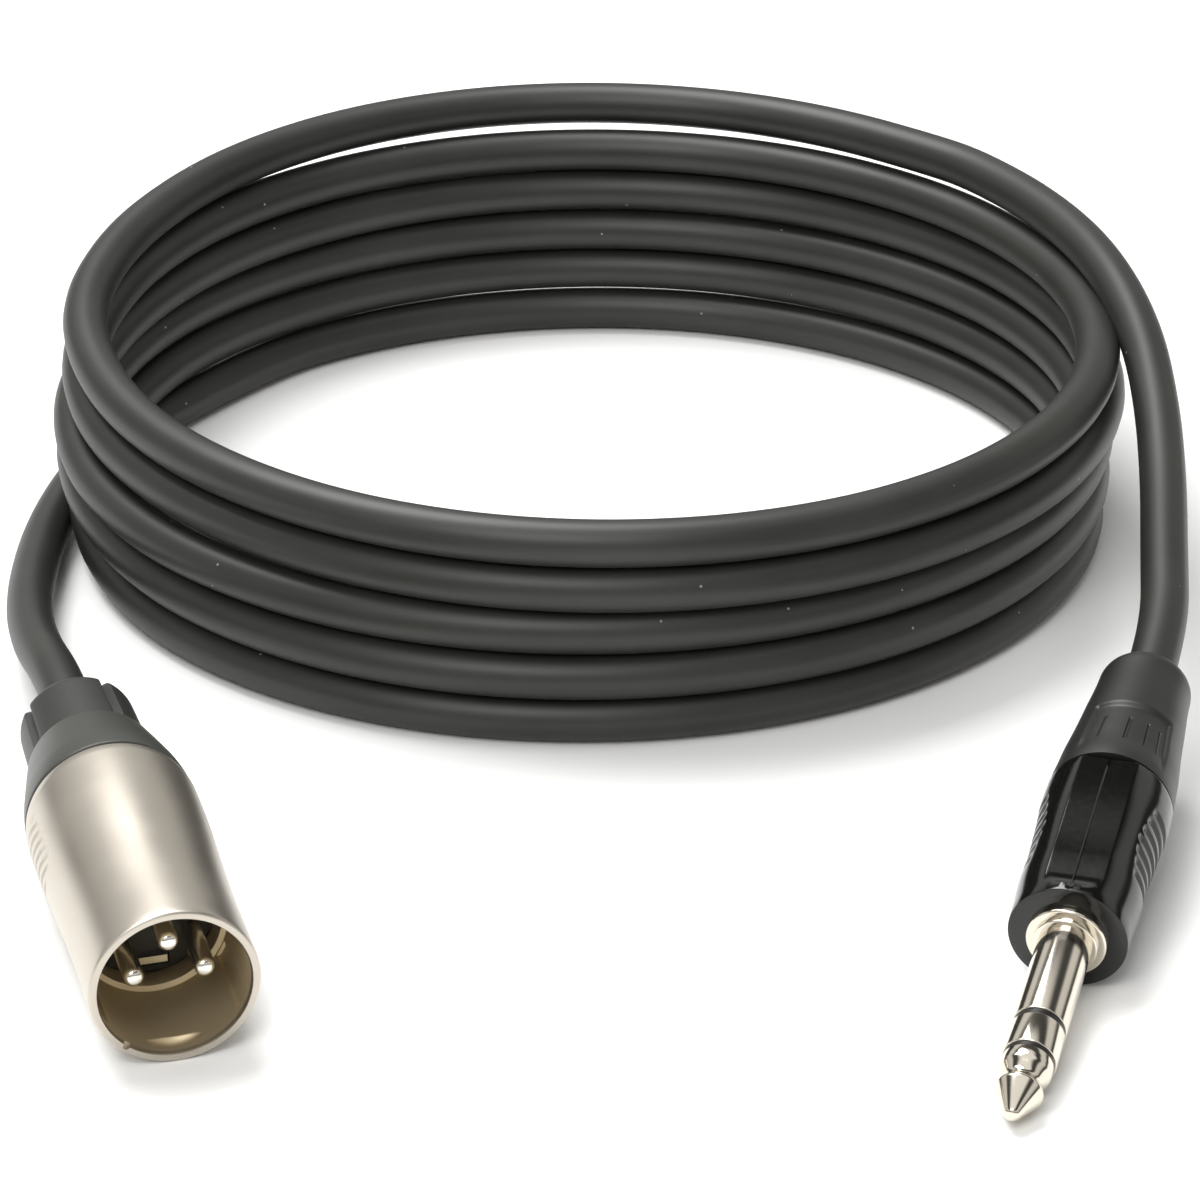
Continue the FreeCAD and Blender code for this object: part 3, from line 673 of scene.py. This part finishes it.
# %% Make the shaft, ring by ring
METAL_R, GAP_R = 3.175, 2.97        # the black rings lie a little lower than the metal
shaft = {
    "jack_flange": ("jack_collar", bright_nickel, "nickel_bright", [
        (2.97, -1.6), (3.75, -1.6, 0.2), (3.75, -0.95), (4.7, -0.95, 0.28), (4.7, -0.02, 0.05),
        (3.55, -0.02), (3.55, 4.6), (4.6, 4.6), (4.6, 5.6), (2.97, 5.6)]),
    "jack_sleeve_contact": ("jack_sleeve", bright_nickel, "nickel_bright", [
        (2.42, -16.3), (METAL_R, -16.3, 0.12), (METAL_R, -1.6), (2.95, -1.6), (2.95, 6.4), (2.42, 6.4)]),
    "jack_rear_ring_gap": ("jack_rear_insulator", ring_plastic, "insulator_black", [
        (1.97, -17.2), (GAP_R, -17.2), (GAP_R, -16.32), (2.4, -16.32), (2.4, 7.2), (1.97, 7.2)]),
    "jack_front_ring_gap": ("jack_front_insulator", ring_plastic, "insulator_black", [
        (1.02, -22.54), (GAP_R, -22.54), (GAP_R, -22.02), (1.5, -22.02), (1.5, 10.2), (1.02, 10.2)]),
    "jack_ring_contact": ("jack_ring", bright_nickel, "nickel_bright", [
        (1.52, -22.0), (METAL_R, -22.0, 0.12), (METAL_R, -17.22, 0.12), (1.95, -17.22), (1.95, 9.2),
        (1.52, 9.2)]),
    "jack_tip_contact": ("jack_tip", bright_nickel, "nickel_bright", [
        (0, -31.4), (0.75, -31.4, 0.4), (2.85, -27.3, 0.3), (2.35, -26.5, 0.25), (2.0, -25.7, 0.5),
        (2.45, -24.9, 0.25), (2.9, -24.2, 0.25), (2.98, -23.4, 0.1), (2.98, -22.56, 0.08),
        (1.0, -22.56), (1.0, 11.0), (0, 11.0)]),
}
for piece_name, (node_name, material, slot, outline) in shaft.items():
    turned_piece(piece_name, outline, jack_frame, material, stands_for=node_name)

# %% [markdown]
# ## Pieces kept from the frame
# The contact carrier, the ground contact and everything sealed inside the connectors are already the
# right shape in the frame, so they stay as they are and are only given their real finishes.

# %% Finish the CAD pieces that stay
finishes = {
    carrier_nylon: ["xlr_insert"],
    silver_plate: ["xlr_ground_tab"],
    natural_acetal: ["xlr_chuck", "jack_chuck"],
    jacket: ["xlr_cable_end", "jack_cable_end"],
    red_pvc: ["xlr_core_hot", "jack_core_tip"],
    white_pvc: ["xlr_core_cold", "jack_core_ring"],
    bare_copper: ["xlr_shield_wire", "jack_shield_wire"],
    bright_nickel: ["jack_ground_lug"],
}
for finish, names in finishes.items():
    for name in names:
        nodes[name].data.materials.clear()
        nodes[name].data.materials.append(finish)
print("finished", sum(len(names) for names in finishes.values()), "CAD pieces")

# %% [markdown]
# ## The cable
# The cable is the one soft piece. It leaves the three-pin connector, is fairly stiff and lies coiled,
# and the jack plug is what is on its far end.

# %% [markdown]
# ## Table and light
# The coil lies on a plain white table in a bright room of white cloth. Metals and gloss plastic show
# what is around them, so the room is not one even white: a bright wall of cloth, a dark gap above it and
# a bright ceiling, and those are what draw the dark bands on the shell and the plug. Two large soft
# lamps add the direction: a strong one above and behind on the left, a weak one in front. Colours go to
# the screen as they are, with no film curve over them, so that white stays white and black stays black.

# %% Lay the table
table_mesh = bpy.data.meshes.new("table_top")
bm = bmesh.new()
bmesh.ops.create_grid(bm, x_segments=1, y_segments=1, size=4.0)
bm.to_mesh(table_mesh)
bm.free()
table_white, tree, shader = start_material("white_table_laminate", {
    "Base Color": linear("#f7f7f6"), "Roughness": 0.85, "Specular IOR Level": 0.2})
table_mesh.materials.append(table_white)
table = bpy.data.objects.new("table_top", table_mesh)
bpy.context.scene.collection.objects.link(table)
print("table is 8 m across")

# %% Light the room
world = bpy.data.worlds.new("white_cloth_room")
bpy.context.scene.world = world
world.use_nodes = True
tree = world.node_tree
tree.nodes.clear()
direction = add_node(tree, "ShaderNodeTexCoord")
parts = add_node(tree, "ShaderNodeSeparateXYZ", links={"Vector": direction.outputs["Generated"]})
height = add_node(tree, "ShaderNodeValToRGB", links={"Fac": parts.outputs["Z"]})
ground, ceiling = height.color_ramp.elements
ground.position, ground.color = 0.02, linear("#4c4c4a")
ceiling.position, ceiling.color = 0.95, linear("#fffefc")
for place_on_ramp, shade in ((0.14, "#595957"), (0.26, "#dcdbd8"), (0.50, "#e6e5e2"), (0.60, "#454543"),
                             (0.76, "#454543"), (0.86, "#fffefc")):
    height.color_ramp.elements.new(place_on_ramp).color = linear(shade)
cloth = add_node(tree, "ShaderNodeBackground", {"Strength": 1.0}, {"Color": height.outputs["Color"]})
add_node(tree, "ShaderNodeOutputWorld", links={"Surface": cloth.outputs["Background"]})
print("the room's shades are set at", len(height.color_ramp.elements), "heights")


# %% Hang the lamps
def soft_lamp(name, at, size, watts):
    """A rectangular softbox that faces the coil. Places and sizes are in metres."""
    data = bpy.data.lights.new(name, "AREA")
    data.shape, data.size, data.size_y, data.energy = "RECTANGLE", size[0], size[1], watts
    lamp = bpy.data.objects.new(name, data)
    lamp.location = at
    lamp.rotation_euler = (Vector((0, 0.02, 0)) - Vector(at)).to_track_quat("-Z", "Y").to_euler()
    bpy.context.scene.collection.objects.link(lamp)


soft_lamp("overhead_softbox", (-0.35, 0.45, 1.2), (0.9, 0.7), 19.0)
soft_lamp("front_fill", (-0.3, -0.9, 1.0), (0.6, 0.6), 8.0)
bpy.context.scene.view_settings.view_transform = "Standard"
print("lamps are hung")
